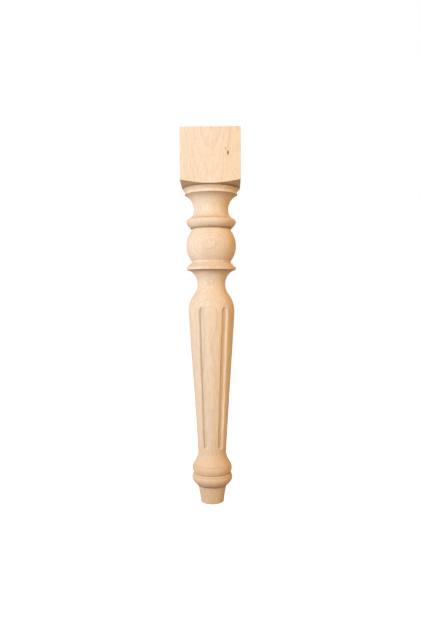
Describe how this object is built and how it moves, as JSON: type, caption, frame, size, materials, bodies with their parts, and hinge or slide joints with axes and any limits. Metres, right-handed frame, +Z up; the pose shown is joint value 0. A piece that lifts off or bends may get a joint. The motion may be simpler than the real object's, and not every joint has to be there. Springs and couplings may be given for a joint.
{
  "type": "table leg",
  "caption": "Turned wooden table leg: square head block, coves, ring bead and ball, fluted tapering shaft, bell and bead, small round foot. Raw sanded wood.",
  "frame": {"origin": "centre of the flat end of the foot, on the axis about which the leg is turned", "axes": "+Z up along the turning axis to the sawn top of the block; +X and +Y square to the block's side faces; the face seen in the picture looks along -Y"},
  "size_m": [0.114, 0.114, 0.72],
  "materials": {
    "wood": "raw, sanded, no stain or varnish"
  },
  "bodies": {
    "root": {"turned_leg": "wood"}
  },
  "joints": []
}
